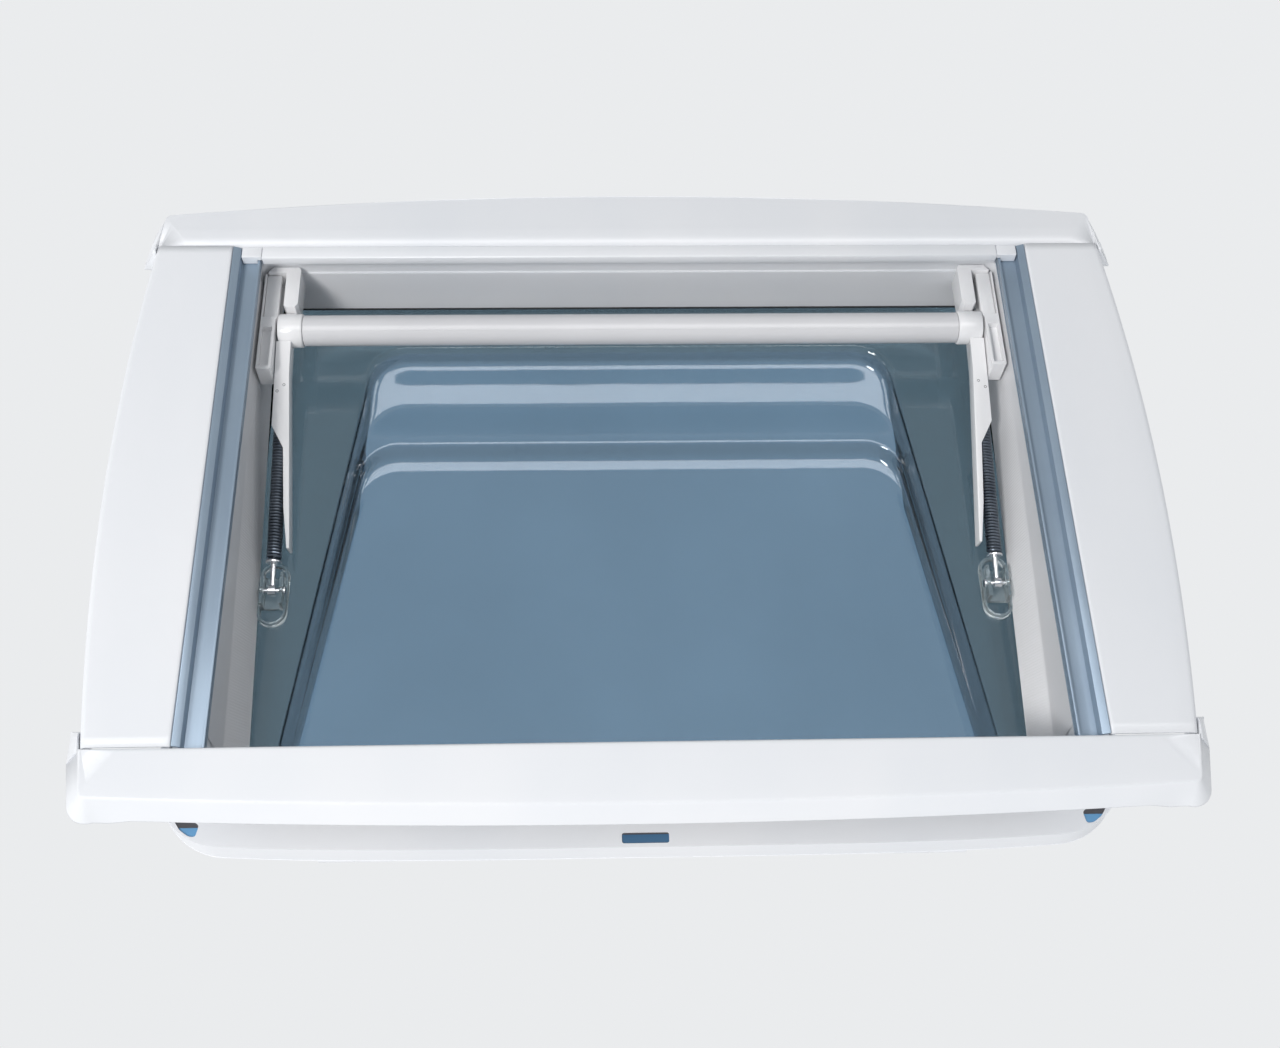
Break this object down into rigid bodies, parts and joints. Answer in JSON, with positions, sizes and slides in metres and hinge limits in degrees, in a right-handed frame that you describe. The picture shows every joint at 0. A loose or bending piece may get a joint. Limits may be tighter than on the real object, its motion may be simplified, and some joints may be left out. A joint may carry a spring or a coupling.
{
  "type": "deck hatch",
  "caption": "Tilt-open roof or deck hatch: double-skinned tinted dome on a white frame, with a sprung handle bar, two release catches and two pull-out blinds.",
  "frame": {"origin": "under the middle of the hatch, on the room-side face of the inner frame", "axes": "+Z out through the roof; +X along the long side, -Y towards the side that opens, +Y towards the hinges"},
  "size_m": [0.8932, 0.614, 0.1576],
  "materials": {
    "white_plastic": "smooth moulded, satin",
    "wall_plastic": "smooth moulded, ribbed band",
    "rail_metal": "anodised, satin",
    "rubber": "matt",
    "tinted_acrylic": "clear tinted, polished",
    "clear_plastic": "clear, polished",
    "bright_steel": "bright plated",
    "spring_steel": "dark drawn wire",
    "pleated_fabric": "pleated, coated",
    "screen_mesh": "pleated fine mesh"
  },
  "bodies": {
    "frame": {"outer_frame": "white_plastic", "roof_gasket": "rubber", "dome_seal": "rubber", "cover_opening_side": "white_plastic", "cover_hinge_side": "white_plastic", "side_rail_left": "white_plastic", "side_rail_right": "white_plastic", "blind_channel_left": "rail_metal", "blind_channel_right": "rail_metal", "side_liner_left": "wall_plastic", "side_liner_right": "wall_plastic", "catch_housing_left": "white_plastic", "catch_housing_right": "white_plastic", "clamp_bracket_1": "bright_steel", "clamp_bracket_2": "bright_steel", "clamp_bracket_3": "bright_steel", "clamp_bracket_4": "bright_steel", "clamp_bracket_5": "bright_steel", "clamp_bracket_6": "bright_steel", "clamp_screw_1": "bright_steel", "clamp_screw_2": "bright_steel", "clamp_screw_3": "bright_steel", "clamp_screw_4": "bright_steel", "clamp_screw_5": "bright_steel", "clamp_screw_6": "bright_steel", "hinge_base_1": "white_plastic", "hinge_base_2": "white_plastic", "hinge_pin_1": "bright_steel", "hinge_pin_2": "bright_steel", "blackout_pleats": "pleated_fabric", "screen_pleats": "screen_mesh"},
    "blackout_bar": {"blackout_pull_bar": "white_plastic", "blackout_guide_left": "white_plastic", "blackout_guide_right": "white_plastic"},
    "screen_bar": {"screen_pull_bar": "white_plastic", "screen_guide_left": "white_plastic", "screen_guide_right": "white_plastic"},
    "dome": {"dome_outer_skin": "tinted_acrylic", "dome_inner_skin": "tinted_acrylic", "hinge_leaf_1": "white_plastic", "hinge_leaf_2": "white_plastic", "clevis_left": "clear_plastic", "clevis_right": "clear_plastic", "clevis_pin_left": "bright_steel", "clevis_pin_right": "bright_steel"},
    "spring_rods": {"spring_rod_left": "bright_steel", "spring_rod_right": "bright_steel", "spring_seat_left": "bright_steel", "spring_seat_right": "bright_steel", "spring_left": "spring_steel", "spring_right": "spring_steel"},
    "handle_bail": {"handle_tube": "white_plastic", "sleeve_left": "white_plastic", "sleeve_right": "white_plastic", "arm_left": "white_plastic", "arm_right": "white_plastic"},
    "catch_left": {"catch_lever_left": "white_plastic"},
    "catch_right": {"catch_lever_right": "white_plastic"}
  },
  "joints": [
    {"name": "dome_hinge", "type": "hinge", "parent": "frame", "child": "dome", "pos_m": [0, 0.297, 0.096], "axis": [-1, 0, 0], "range_deg": [0, 50]},
    {"name": "bail_swing", "type": "hinge", "parent": "dome", "child": "spring_rods", "pos_m": [0, 0.064, 0.091], "axis": [1, 0, 0], "range_deg": [0, 104]},
    {"name": "bail_stretch", "type": "slide", "parent": "spring_rods", "child": "handle_bail", "axis": [0, 0.9823, 0.1875], "range_m": [0, 0.008], "stiffness_N_per_m": 1500},
    {"name": "blackout_slide", "type": "slide", "parent": "frame", "child": "blackout_bar", "axis": [0, 1, 0], "range_m": [0, 0.45]},
    {"name": "screen_slide", "type": "slide", "parent": "frame", "child": "screen_bar", "axis": [0, -1, 0], "range_m": [0, 0.45]},
    {"name": "catch_left_press", "type": "hinge", "parent": "frame", "child": "catch_left", "pos_m": [-0.3286, -0.2305, 0.038], "axis": [1, 0, 0], "range_deg": [0, 8], "stiffness_Nm_per_rad": 0.3},
    {"name": "catch_right_press", "type": "hinge", "parent": "frame", "child": "catch_right", "pos_m": [0.3286, -0.2305, 0.038], "axis": [1, 0, 0], "range_deg": [0, 8], "stiffness_Nm_per_rad": 0.3}
  ],
  "couplings": [
    {"joint": "bail_swing", "follows": "dome_hinge", "ratio": 2.07}
  ]
}
